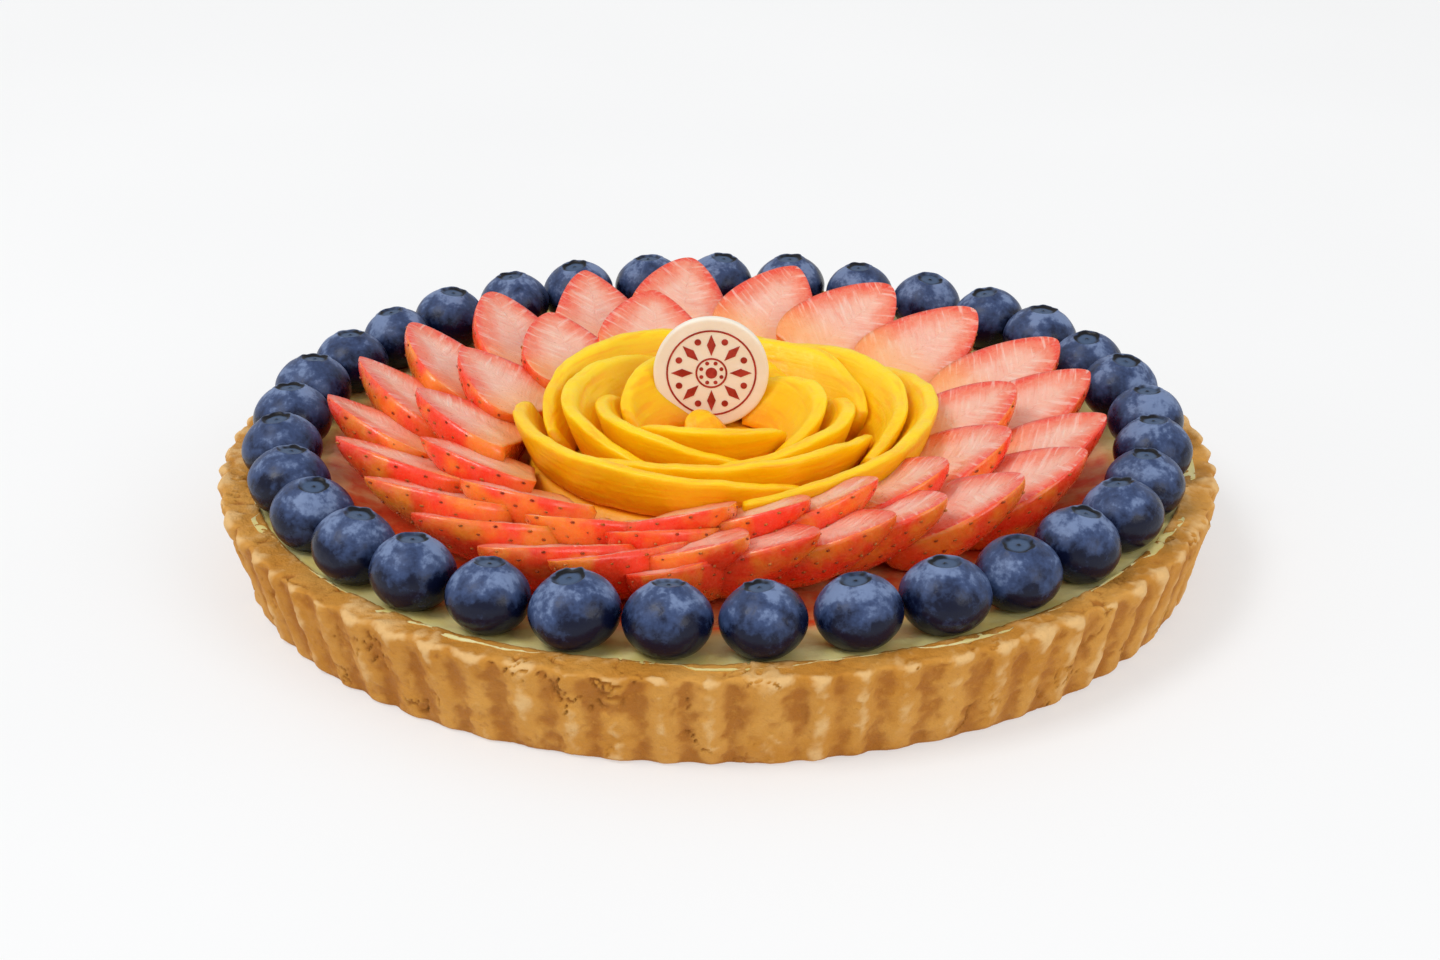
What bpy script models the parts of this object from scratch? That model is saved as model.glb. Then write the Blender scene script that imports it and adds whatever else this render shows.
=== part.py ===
"""A round fruit tart: a fluted shortcrust shell filled with custard, ringed with blueberries,
two pinwheel rings of halved strawberries, a rose of mango slices and an upright chocolate disc.

Metres, +Z up. The origin is the centre of the shell's underside, and -Y is the front.
An azimuth is counted from the front, towards +X.
"""

import math
import random

import bmesh
import bpy
from mathutils import Matrix, Vector

MM = 0.001
GAP = 0.3 * MM                      # air between pieces that touch
TAU = 2 * math.pi

# Shell: a 22 cm fluted tin
RIM_RADIUS = 110.0 * MM
BASE_RADIUS = 104.5 * MM
RIM_HEIGHT = 21.0 * MM
RIM_WIDTH = 8.0 * MM
INNER_RADIUS = RIM_RADIUS - RIM_WIDTH
FLOOR_RADIUS = 98.0 * MM
FLOOR_HEIGHT = 5.0 * MM
FLUTE_COUNT = 72
FLUTE_DEPTH = 1.5 * MM
POINTS_PER_FLUTE = 4

# Custard: level with the rim, pressed down by the strawberries and, less deep, by the berries
CUSTARD_EDGE_HEIGHT = 20.3 * MM
CUSTARD_BERRY_HEIGHT = 18.6 * MM
CUSTARD_HEART_HEIGHT = 20.8 * MM
CUSTARD_HOLLOW_HEIGHT = 16.0 * MM
CUSTARD_STEPS = 48

# Blueberries
BERRY_COUNT = 33
BERRY_RING_RADIUS = 95.4 * MM
BERRY_WIDTH = 17.7 * MM
BERRY_FLATNESS = 0.86               # height over width
BERRY_FIRST_AZIMUTH = -5.6
BERRY_SIDES = 10
# Distance from the axis and height of each ring of a berry of radius 1, from the crown's floor down
BERRY_OUTLINE = (
    (0.00, 0.84), (0.20, 0.85), (0.35, 1.00), (0.72, 0.74), (1.00, 0.12),
    (0.90, -0.50), (0.55, -0.88), (0.00, -1.00),
)
CROWN_RING = 2
CROWN_LOBE = 0.055                  # how far the crown's five lobes stand out

# Mango rose
ROSE_CENTRE = Vector((1.0 * MM, 0.6 * MM, 0.0))
ROSE_SLICES = 12
ROSE_OUTER_RADIUS = 40.0 * MM
ROSE_STEP_IN = 2.5 * MM
ROSE_START_AZIMUTH = 132.0
ROSE_TURN = 105.0                   # degrees from one slice's start to the next
ROSE_SPAN = 125.0
ROSE_FLARE = 3.0 * MM               # how far a slice's free end stands out
ROSE_TOP_HEIGHT = 34.0 * MM
ROSE_CLEARANCE = 0.6 * MM           # between the outer slices and the strawberries trimmed round them
ROSE_TRIM_SIDES = 48
HEART_RADIUS = 5.5 * MM
HEART_SPAN = 110.0
HEART_TOP_HEIGHT = 29.5 * MM
HEART_AZIMUTHS = (60.0, -80.0)
SLICE_THICKNESS = 3.0 * MM
SLICE_FOOT = 2.1 * MM               # how much thicker a slice is at its foot, on the inside
SLICE_LEAN = 24.0
SLICE_SECTIONS = 9

# Chocolate disc
DISC_RADIUS = 13.0 * MM
DISC_THICKNESS = 2.2 * MM
DISC_CENTRE_X = -1.5 * MM
DISC_CENTRE_Y = 14.0 * MM
DISC_LEAN = 1.5
DISC_SEGMENTS = 40


class StrawberryRing:
    """Sizes of one pinwheel ring of halved strawberries. inset is how far its tips lie inside RING_COURSE,
    and forward how far the ring is set towards the front."""

    def __init__(self, name, count, step, first, inset, forward, tilt, roll, size, seed):
        self.name = name
        self.count = count
        self.step = step
        self.first = first
        self.inset = inset
        self.forward = forward
        self.tilt = tilt
        self.roll = roll
        self.size = size
        self.seed = seed


# size is length, half width and depth
OUTER_RING = StrawberryRing(
    "strawberry_outer", count=24, step=15.0, first=4.0, inset=0.0, forward=0.0,
    tilt=25.0, roll=12.0, size=(31.0 * MM, 12.8 * MM, 10.5 * MM), seed=11,
)
# The inner ring leaves out the back right, where the outer halves reach the rose
INNER_RING = StrawberryRing(
    "strawberry_inner", count=14, step=21.3, first=190.0, inset=18.5 * MM, forward=3.0 * MM,
    tilt=25.0, roll=9.0, size=(23.5 * MM, 13.4 * MM, 9.5 * MM), seed=23,
)
# Azimuth, swirl in degrees, and radius and height of the outer tips, read off between the rows
RING_COURSE = (
    (0.0, 36.0, 76.5 * MM, 34.8 * MM),
    (40.0, 32.0, 74.5 * MM, 35.2 * MM),
    (68.0, 18.0, 84.0 * MM, 34.8 * MM),
    (110.0, 2.0, 85.0 * MM, 35.0 * MM),
    (142.0, -14.0, 80.5 * MM, 35.0 * MM),
    (188.0, -10.0, 86.0 * MM, 36.6 * MM),
    (230.0, -8.0, 84.0 * MM, 35.2 * MM),
    (275.0, -16.0, 85.0 * MM, 34.8 * MM),
    (300.0, -20.0, 85.5 * MM, 33.8 * MM),
    (330.0, -18.0, 87.0 * MM, 31.5 * MM),
    (352.0, -8.0, 85.0 * MM, 31.5 * MM),
    (360.0, 36.0, 76.5 * MM, 34.8 * MM),
)
RING_CROWDING = 12.8                # degrees that a half at the side is set off towards the front
HALVES_PER_FAN = 4
HALVES_ON_FAN = 2                   # halves of the next fan that a fan gives way to
CUTTER_GROWTH = 0.6 * MM            # leaves the gap beside slanting faces too
TIP_DROP = 0.5 * MM                 # the tip lies this far below the cut face
HALF_SECTIONS = 6
HALF_SIDES = 4


def clear_scene():
    for obj in list(bpy.data.objects):
        bpy.data.objects.remove(obj, do_unlink=True)


def make_material(name, colour, roughness):
    material = bpy.data.materials.new(name)
    material.use_nodes = True
    shader = material.node_tree.nodes["Principled BSDF"]
    shader.inputs["Base Color"].default_value = (*colour, 1.0)
    shader.inputs["Roughness"].default_value = roughness
    shader.inputs["Metallic"].default_value = 0.0
    return material


def add_object(name, mesh, material, matrix=None):
    """Links an object for this mesh, in place and with its material."""
    if not mesh.materials:
        mesh.materials.append(material)
    obj = bpy.data.objects.new(name, mesh)
    if matrix is not None:
        obj.matrix_world = matrix
    TART.objects.link(obj)
    return obj


def outward(azimuth):
    """Unit vector from the centre at this azimuth in degrees."""
    angle = math.radians(azimuth)
    return Vector((math.sin(angle), -math.cos(angle), 0.0))


def loft(name, rings, smooth_angle=50.0):
    """A closed mesh through rings of points. A ring of one point closes that end, and others are capped."""
    bm = bmesh.new()
    rows = [[bm.verts.new(point) for point in ring] for ring in rings]
    for low, high in zip(rows, rows[1:]):
        sides = max(len(low), len(high))
        for i in range(sides):
            j = (i + 1) % sides
            corners = [low[i % len(low)], low[j % len(low)], high[j % len(high)], high[i % len(high)]]
            bm.faces.new(list(dict.fromkeys(corners)))
    for end in (rows[0], rows[-1]):
        if len(end) > 1:
            bm.faces.new(end)
    bmesh.ops.recalc_face_normals(bm, faces=bm.faces)
    mesh = bpy.data.meshes.new(name)
    bm.to_mesh(mesh)
    bm.free()
    mesh.shade_smooth()
    mesh.set_sharp_from_angle(angle=math.radians(smooth_angle))
    return mesh


# Shell and custard


def fluted_ring(radius, height, depth):
    """A ring of round lobes with narrow valleys between them."""
    points = []
    count = FLUTE_COUNT * POINTS_PER_FLUTE
    for i in range(count):
        angle = TAU * i / count
        lobe = abs(math.cos(angle * FLUTE_COUNT / 2))
        r = radius - depth * (1 - lobe)
        points.append(Vector((r * math.cos(angle), r * math.sin(angle), height)))
    return points


def make_shell():
    rings = [
        fluted_ring(BASE_RADIUS - 1.6 * MM, 0.0, 0.3 * FLUTE_DEPTH),
        fluted_ring(BASE_RADIUS, 1.2 * MM, 0.7 * FLUTE_DEPTH),
        fluted_ring(RIM_RADIUS - 0.2 * MM, RIM_HEIGHT - 1.4 * MM, FLUTE_DEPTH),
        fluted_ring(RIM_RADIUS - 1.2 * MM, RIM_HEIGHT, 0.8 * FLUTE_DEPTH),
        fluted_ring(INNER_RADIUS, RIM_HEIGHT - 0.2 * MM, 0.0),
        fluted_ring(FLOOR_RADIUS, FLOOR_HEIGHT, 0.0),
    ]
    crust = make_material("baked_crust", (0.62, 0.36, 0.13), 0.75)
    add_object("crust", loft("crust", rings), crust)


def make_custard():
    """A turned profile, from the top's centre down its outer side."""
    top_edge = INNER_RADIUS - GAP - 0.1 * MM
    profile = [
        (0.0, CUSTARD_HEART_HEIGHT),
        (41.5 * MM, CUSTARD_HEART_HEIGHT),
        (42.5 * MM, CUSTARD_HOLLOW_HEIGHT),
        (76.0 * MM, CUSTARD_HOLLOW_HEIGHT),
        (86.0 * MM, CUSTARD_BERRY_HEIGHT),
        (98.5 * MM, CUSTARD_BERRY_HEIGHT),
        (top_edge, CUSTARD_EDGE_HEIGHT),
        (FLOOR_RADIUS - GAP, FLOOR_HEIGHT + GAP),
        (0.0, FLOOR_HEIGHT + GAP),
    ]
    mesh = bpy.data.meshes.new("custard")
    mesh.from_pydata([(r, 0.0, z) for r, z in profile], [(i, i + 1) for i in range(len(profile) - 1)], [])
    custard = make_material("custard", (0.86, 0.76, 0.42), 0.35)
    obj = add_object("custard", mesh, custard)
    screw = obj.modifiers.new("turn", "SCREW")
    screw.axis = "Z"
    screw.steps = CUSTARD_STEPS
    screw.render_steps = CUSTARD_STEPS
    screw.use_merge_vertices = True
    screw.merge_threshold = 0.00001
    screw.use_smooth_shade = True


# Blueberries


def berry_mesh():
    """A flattened sphere with a five-lobed crown round a sunken floor."""
    bm = bmesh.new()
    rings = len(BERRY_OUTLINE) - 1
    bmesh.ops.create_uvsphere(bm, u_segments=BERRY_SIDES, v_segments=rings, radius=1.0)
    for vert in bm.verts:
        polar = math.acos(max(-1.0, min(1.0, vert.co.z)))
        ring = round(polar / math.pi * rings)
        angle = math.atan2(vert.co.y, vert.co.x)
        reach, height = BERRY_OUTLINE[ring]
        if ring == CROWN_RING:
            lobe = CROWN_LOBE * math.cos(5 * angle)
            reach += lobe
            height += lobe / 2
        vert.co = Vector((reach * math.cos(angle), reach * math.sin(angle), BERRY_FLATNESS * height))
    mesh = bpy.data.meshes.new("blueberry")
    bm.to_mesh(mesh)
    bm.free()
    mesh.shade_smooth()
    mesh.set_sharp_from_angle(angle=math.radians(60.0))
    return mesh


def make_berries():
    blue = make_material("blueberry_skin", (0.05, 0.09, 0.22), 0.4)
    mesh = berry_mesh()
    draw = random.Random(5)
    for i in range(BERRY_COUNT):
        azimuth = BERRY_FIRST_AZIMUTH + 360.0 * i / BERRY_COUNT + draw.uniform(-0.2, 0.2)
        size = BERRY_WIDTH / 2 * draw.uniform(0.955, 1.0)
        reach = BERRY_RING_RADIUS + draw.uniform(-0.4, 0.4) * MM
        tilt = draw.uniform(0.0, 11.0)
        tilt_towards = draw.uniform(0.0, 360.0)
        turn = draw.uniform(0.0, 72.0)
        centre = outward(azimuth) * reach
        centre.z = CUSTARD_BERRY_HEIGHT + 2 * GAP + BERRY_FLATNESS * size
        lean = Matrix.Rotation(math.radians(tilt), 4, outward(tilt_towards))
        spin = Matrix.Rotation(math.radians(turn), 4, "Z")
        matrix = Matrix.Translation(centre) @ lean @ spin @ Matrix.Scale(size, 4)
        add_object(f"blueberry_{i + 1:02d}", mesh, blue, matrix)


# Strawberries


def half_reach(t):
    """Width of a strawberry from its cut end (t = 0) to its tip (t = 1), with 1 at the shoulder."""
    return math.sin(math.pi * (0.09 + 0.91 * t) ** 0.62) ** 0.75


def half_mesh(name, size, grow=0.0):
    """Half a strawberry: a flat cut face in the plane z = 0, round skin below it, the tip at x = 0.
    grow adds that much all round, for a cutter."""
    length, half_width, depth = size
    rings = []
    for k in range(HALF_SECTIONS):
        t = math.sin(math.pi / 2 * k / HALF_SECTIONS)
        reach = half_reach(t)
        x = (t - 1) * (length + grow) - (grow if k == 0 else 0.0)
        ring = []
        for side in range(HALF_SIDES + 1):
            angle = math.pi * side / HALF_SIDES
            y = math.cos(angle) * (half_width * reach + grow)
            z = grow - math.sin(angle) * (depth * reach + 2 * grow)
            ring.append(Vector((x, y, z)))
        rings.append(ring)
    rings.append([Vector((grow, 0.0, -TIP_DROP))])
    return loft(name, rings, smooth_angle=40.0)


def ring_course(azimuth):
    """Swirl, tip radius and tip height at this azimuth."""
    azimuth %= 360.0
    for low, high in zip(RING_COURSE, RING_COURSE[1:]):
        if azimuth <= high[0]:
            share = (azimuth - low[0]) / (high[0] - low[0])
            return [a + (b - a) * share for a, b in zip(low[1:], high[1:])]


def clip_below(mesh, height):
    """Cuts off what lies below this height and closes the cut."""
    bm = bmesh.new()
    bm.from_mesh(mesh)
    everything = bm.verts[:] + bm.edges[:] + bm.faces[:]
    bmesh.ops.bisect_plane(
        bm, geom=everything, plane_co=(0.0, 0.0, height), plane_no=(0.0, 0.0, 1.0), clear_inner=True)
    bmesh.ops.holes_fill(bm, edges=[edge for edge in bm.edges if edge.is_boundary])
    bmesh.ops.recalc_face_normals(bm, faces=bm.faces)
    bm.to_mesh(mesh)
    bm.free()


def rose_room():
    """A closed solid with the outline of the whole rose and some room round it."""
    lean = math.tan(math.radians(SLICE_LEAN))
    wall = ROSE_OUTER_RADIUS + ROSE_FLARE + SLICE_THICKNESS / 2 + ROSE_CLEARANCE
    rings = []
    for height, radius in ((0.0, wall), (CUSTARD_HEART_HEIGHT, wall), (2.0 * CUSTARD_HEART_HEIGHT,
                           wall + lean * CUSTARD_HEART_HEIGHT)):
        ring = [ROSE_CENTRE + outward(360.0 * i / ROSE_TRIM_SIDES) * radius for i in range(ROSE_TRIM_SIDES)]
        rings.append([Vector((point.x, point.y, height)) for point in ring])
    return loft("cutter", rings)


def half_places(ring):
    """The matrix and size of every half in a ring, in order of azimuth."""
    draw = random.Random(ring.seed)
    places = []
    for i in range(ring.count):
        azimuth = ring.first + ring.step * i
        azimuth += draw.uniform(-1.0, 1.0) - RING_CROWDING * math.sin(math.radians(azimuth))
        swirl, tip_radius, tip_height = ring_course(azimuth)
        scale = draw.uniform(0.95, 1.04)
        tip = outward(azimuth) * (tip_radius - ring.inset + draw.uniform(-1.0, 1.0) * MM)
        tip.y -= ring.forward
        tip.z = tip_height + draw.uniform(-0.4, 0.4) * MM
        tilt = ring.tilt + draw.uniform(-1.0, 1.0)
        roll = ring.roll + draw.uniform(-1.0, 1.0)
        swirl += draw.uniform(-2.0, 2.0)
        turn = Matrix.Rotation(math.radians(azimuth - 90.0), 4, "Z")
        rise = Matrix.Rotation(math.radians(-tilt), 4, "Y")
        lean = Matrix.Rotation(math.radians(roll), 4, "X")
        spin = Matrix.Rotation(math.radians(swirl), 4, "Z")
        size = tuple(s * scale for s in ring.size)
        places.append((Matrix.Translation(tip) @ turn @ rise @ lean @ spin, size))
    return places


def apply_boolean(target, operation, others):
    """Joins or cuts target with the other objects, then removes them."""
    group = bpy.data.collections.new("boolean_group")
    for other in others:
        group.objects.link(other)
    modifier = target.modifiers.new(operation.lower(), "BOOLEAN")
    modifier.operation = operation
    modifier.operand_type = "COLLECTION"
    modifier.collection = group
    modifier.solver = "EXACT"
    bpy.context.view_layer.update()
    graph = bpy.context.evaluated_depsgraph_get()
    mesh = bpy.data.meshes.new_from_object(target.evaluated_get(graph))
    target.modifiers.clear()
    target.data = mesh
    for other in others:
        bpy.data.objects.remove(other, do_unlink=True)
    bpy.data.collections.remove(group)


def drop_scraps(mesh):
    """Keeps the body with the most points and drops the scraps that a cutter left loose."""
    bm = bmesh.new()
    bm.from_mesh(mesh)
    unseen = set(bm.verts)
    bodies = []
    while unseen:
        body = set()
        front = {unseen.pop()}
        while front:
            body |= front
            front = {edge.other_vert(vert) for vert in front for edge in vert.link_edges} - body
        unseen -= body
        bodies.append(body)
    bodies.sort(key=len)
    for scrap in bodies[:-1]:
        bmesh.ops.delete(bm, geom=list(scrap), context="VERTS")
    bm.to_mesh(mesh)
    bm.free()


def make_strawberry_ring(ring, red, lying_on=()):
    """Halves that lie on each other like roof tiles, fused into fans. Each fan gives way to the first
    halves of the next one and to the halves of the other ring that lie on this one."""
    places = half_places(ring)
    for fan, first in enumerate(range(0, ring.count, HALVES_PER_FAN)):
        fan_places = places[first:first + HALVES_PER_FAN]
        halves = []
        for matrix, size in fan_places:
            mesh = half_mesh(ring.name, size)
            mesh.transform(matrix)
            clip_below(mesh, CUSTARD_HOLLOW_HEIGHT + GAP)
            name = "half" if halves else f"{ring.name}_{fan + 1}"
            halves.append(add_object(name, mesh, red))
        apply_boolean(halves[0], "UNION", halves[1:])
        end = first + len(fan_places)
        next_halves = [places[(end + k) % ring.count] for k in range(HALVES_ON_FAN)]
        cutters = [add_object("cutter", rose_room(), red)]
        for matrix, size in [*next_halves, *lying_on]:
            cutter_mesh = half_mesh("cutter", size, grow=CUTTER_GROWTH)
            cutter_mesh.transform(matrix)
            cutters.append(add_object("cutter", cutter_mesh, red))
        apply_boolean(halves[0], "DIFFERENCE", cutters)
        drop_scraps(halves[0].data)


# Mango rose


def slice_section(azimuth, heart_radius, foot, bottom, top):
    """A leaning section of a slice: flat sides, a wide foot and a rounded top edge. heart_radius is where
    its middle line meets the height of the custard's heart."""
    height = top - bottom
    half = SLICE_THICKNESS / 2
    lean = math.tan(math.radians(SLICE_LEAN))
    outline = (
        (-half - foot, 0.0), (half, 0.0), (half, 0.84 * height),
        (0.45 * half, height), (-0.45 * half, height), (-half, 0.84 * height),
    )
    direction = outward(azimuth)
    ring = []
    for across, up in outline:
        point = ROSE_CENTRE + direction * (heart_radius + lean * (bottom + up - CUSTARD_HEART_HEIGHT) + across)
        point.z = bottom + up
        ring.append(point)
    return ring


def slice_mesh(name, start, span, radius, flare, bottom, top):
    """A slice curved round the rose, from its tucked-in end (start) back to its free end, both tapered."""
    rings = []
    for k in range(SLICE_SECTIONS):
        s = k / (SLICE_SECTIONS - 1)
        swell = math.sin(math.pi * (0.07 + 0.86 * s))
        rings.append(slice_section(
            start - span * s, radius + flare * s * s, SLICE_FOOT * swell * swell,
            bottom, bottom + (top - bottom) * swell ** 0.3))
    return loft(name, rings, smooth_angle=40.0)


def add_slice(name, mesh, mango):
    """Adds a slice, cut away where the disc stands."""
    obj = add_object(name, mesh, mango)
    apply_boolean(obj, "DIFFERENCE", [add_object("cutter", disc_mesh(CUTTER_GROWTH), mango, disc_place())])
    drop_scraps(obj.data)


def make_rose():
    mango = make_material("mango_flesh", (0.95, 0.62, 0.03), 0.35)
    draw = random.Random(8)
    bottom = CUSTARD_HEART_HEIGHT + GAP
    for i in range(ROSE_SLICES):
        radius = ROSE_OUTER_RADIUS - ROSE_STEP_IN * i
        start = ROSE_START_AZIMUTH - ROSE_TURN * i + draw.uniform(-3.0, 3.0)
        top = ROSE_TOP_HEIGHT + draw.uniform(-0.6, 0.6) * MM
        name = f"mango_slice_{i + 1:02d}"
        add_slice(name, slice_mesh(name, start, ROSE_SPAN, radius, ROSE_FLARE, bottom, top), mango)
    for i, start in enumerate(HEART_AZIMUTHS):
        name = f"mango_slice_{ROSE_SLICES + i + 1:02d}"
        add_slice(name, slice_mesh(name, start, HEART_SPAN, HEART_RADIUS, 0.0, bottom, HEART_TOP_HEIGHT), mango)


# Disc


def disc_mesh(grow=0.0):
    """A disc in the plane z = 0. grow adds that much all round, for a cutter."""
    bm = bmesh.new()
    bmesh.ops.create_cone(
        bm, cap_ends=True, segments=DISC_SEGMENTS, radius1=DISC_RADIUS + grow, radius2=DISC_RADIUS + grow,
        depth=DISC_THICKNESS + 2 * grow)
    mesh = bpy.data.meshes.new("disc")
    bm.to_mesh(mesh)
    bm.free()
    mesh.shade_smooth()
    mesh.set_sharp_from_angle(angle=math.radians(40.0))
    return mesh


def disc_place():
    """Where the disc stands: upright on the custard in the rose's heart."""
    lift = DISC_RADIUS + DISC_THICKNESS / 2 * math.sin(math.radians(DISC_LEAN)) + GAP
    centre = Vector((DISC_CENTRE_X, DISC_CENTRE_Y, CUSTARD_HEART_HEIGHT + lift))
    return Matrix.Translation(centre) @ Matrix.Rotation(math.radians(90.0 - DISC_LEAN), 4, "X")


def make_disc():
    chocolate = make_material("white_chocolate", (0.86, 0.78, 0.62), 0.4)
    obj = add_object("chocolate_disc", disc_mesh(), chocolate, disc_place())
    bevel = obj.modifiers.new("rounded_edge", "BEVEL")
    bevel.width = 0.4 * MM
    bevel.segments = 1
    bevel.limit_method = "ANGLE"


clear_scene()
TART = bpy.data.collections.new("fruit_tart")
bpy.context.scene.collection.children.link(TART)
make_shell()
make_custard()
make_berries()
STRAWBERRY = make_material("strawberry", (0.80, 0.10, 0.06), 0.35)
make_strawberry_ring(OUTER_RING, STRAWBERRY, lying_on=half_places(INNER_RING))
make_strawberry_ring(INNER_RING, STRAWBERRY)
make_rose()
make_disc()
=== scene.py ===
"""Looks of a round fruit tart.

A fluted shortcrust shell holds custard, a border of blueberries, two pinwheel rings of halved
strawberries, a rose of mango slices and an upright disc of white chocolate. Metres, +Z up. The origin
is the centre of the shell's underside, -Y is the front, and an azimuth is counted from the front
towards +X.
"""

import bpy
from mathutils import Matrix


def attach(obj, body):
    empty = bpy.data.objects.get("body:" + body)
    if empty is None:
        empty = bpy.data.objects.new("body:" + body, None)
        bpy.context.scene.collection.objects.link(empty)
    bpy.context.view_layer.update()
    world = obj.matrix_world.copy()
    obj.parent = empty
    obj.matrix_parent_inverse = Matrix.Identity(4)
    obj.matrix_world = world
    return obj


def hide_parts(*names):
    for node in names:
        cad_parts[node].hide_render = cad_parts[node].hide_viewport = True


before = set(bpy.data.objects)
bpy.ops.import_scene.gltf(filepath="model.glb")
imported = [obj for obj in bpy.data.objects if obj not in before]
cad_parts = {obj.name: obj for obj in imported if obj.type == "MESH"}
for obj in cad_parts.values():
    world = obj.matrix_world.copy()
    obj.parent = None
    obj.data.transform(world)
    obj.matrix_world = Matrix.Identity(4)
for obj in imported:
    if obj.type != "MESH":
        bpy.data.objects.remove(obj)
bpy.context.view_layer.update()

import itertools
import logging
import math
import random
from dataclasses import dataclass
from enum import Enum

import bpy
import numpy as np
from mathutils import Matrix, Vector

MM = 0.001
TAU = 2 * math.pi
# Radius of the innermost ring of a round piece, which would else be one point
CENTRE = 0.02 * MM
# Values in a noise lattice, and how many of its cells each finer layer is moved by
LATTICE = 256
LAYER_SHIFT = 7.3
LOG = logging.getLogger("fruit_tart")


# Helpers


class NoiseField:
    """Smooth seeded noise, worked out for whole arrays of points at once."""

    def __init__(self, seed: int) -> None:
        """Draws the lattice values.

        Args:
            seed: Seed of the random draw.
        """
        draw = np.random.default_rng(seed)
        self.order = draw.permutation(LATTICE)
        self.values = draw.uniform(-1.0, 1.0, LATTICE)

    def at(self, points: np.ndarray, size: float) -> np.ndarray:
        """Noise with features of one size.

        Args:
            points: Points, one a row.
            size: Size of a lattice cell in metres.

        Returns:
            One value from -1 to 1 for each point.
        """
        place = points / size
        cell = np.floor(place).astype(int)
        part = place - cell
        ease = part * part * part * (part * (part * 6 - 15) + 10)
        total = np.zeros(len(points))
        for corner in itertools.product((0, 1), repeat=3):
            index = (cell + corner) % LATTICE
            key = self.order[index[:, 0]]
            for axis in (1, 2):
                key = self.order[(key + index[:, axis]) % LATTICE]
            weight = np.prod(np.where(np.array(corner) == 1, ease, 1 - ease), axis=1)
            total += weight * self.values[key]
        return total

    def layers(self, points: np.ndarray, size: float, count: int, fade: float = 0.5) -> np.ndarray:
        """Layers of noise, each half the size of the one before.

        Args:
            points: Points, one a row.
            size: Size of the largest features.
            count: Number of layers.
            fade: Strength of each layer over the one before.

        Returns:
            One value for each point.
        """
        total = np.zeros(len(points))
        for layer in range(count):
            total += self.at(points + LAYER_SHIFT * layer * size, size / 2**layer) * fade**layer
        return total


def ramp(values: np.ndarray, low: float, high: float) -> np.ndarray:
    """Smooth step from 0 at low to 1 at high."""
    share = np.clip((values - low) / (high - low), 0.0, 1.0)
    return share * share * (3 - 2 * share)


def outward(azimuth: float) -> Vector:
    """Unit vector from the centre at an azimuth in degrees."""
    angle = math.radians(azimuth)
    return Vector((math.sin(angle), -math.cos(angle), 0.0))


def circle(count: int) -> tuple:
    """Angles round a circle, and the unit vector at each."""
    angle = TAU * np.arange(count) / count
    return angle, np.stack([np.cos(angle), np.sin(angle), np.zeros_like(angle)], axis=1)


def grid_faces(rows: int, columns: int) -> list:
    """Quads between rings of points.

    Args:
        rows: Number of rings.
        columns: Points in a ring.

    Returns:
        A list of faces.
    """
    row, column = np.meshgrid(np.arange(rows - 1), np.arange(columns), indexing="ij")
    beside = (column + 1) % columns
    quads = np.stack([
        row * columns + column, row * columns + beside,
        (row + 1) * columns + beside, (row + 1) * columns + column], axis=-1)
    return quads.reshape(-1, 4).tolist()


def new_mesh(name: str, points: list, faces: list, smooth: bool = True) -> bpy.types.Mesh:
    """A mesh from points and faces, shaded smooth or flat."""
    mesh = bpy.data.meshes.new(name)
    mesh.from_pydata(points, [], faces)
    if smooth:
        mesh.shade_smooth()
    return mesh


def tube_mesh(name: str, rings: np.ndarray) -> bpy.types.Mesh:
    """A mesh through closed rings of points, with one face across each end.

    Args:
        name: Name of the mesh.
        rings: Array of rings, points and coordinates.

    Returns:
        The smooth mesh.
    """
    rows, columns = rings.shape[:2]
    faces = grid_faces(rows, columns)
    faces.append(list(range(columns))[::-1])
    faces.append([(rows - 1) * columns + i for i in range(columns)])
    return new_mesh(name, rings.reshape(-1, 3).tolist(), faces)


def add_values(mesh: bpy.types.Mesh, name: str, values: np.ndarray) -> None:
    """Stores one number a point, for the material to read."""
    layer = mesh.attributes.new(name, "FLOAT", "POINT")
    layer.data.foreach_set("value", np.ascontiguousarray(values, dtype=np.float32).ravel())


def add_grain(mesh: bpy.types.Mesh, grain: np.ndarray) -> None:
    """Stores one vector a point, for noise that runs with the fibres."""
    layer = mesh.attributes.new("grain", "FLOAT_VECTOR", "POINT")
    layer.data.foreach_set("vector", np.ascontiguousarray(grain, dtype=np.float32).ravel())


def add_object(name: str, data: bpy.types.ID) -> bpy.types.Object:
    """Puts a new object in the scene."""
    made = bpy.data.objects.new(name, data)
    bpy.context.scene.collection.objects.link(made)
    return made


def add_piece(mesh: bpy.types.Mesh, nodes: list) -> None:
    """Puts a piece in the scene in place of solids of the frame.

    Args:
        mesh: The piece's mesh, in place and dressed.
        nodes: Names of the solids that it stands for.
    """
    piece = add_object(mesh.name, mesh)
    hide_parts(*nodes)
    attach(piece, "root")
    LOG.info("%s: %d points", piece.name, len(mesh.vertices))


# Finishes


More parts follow.
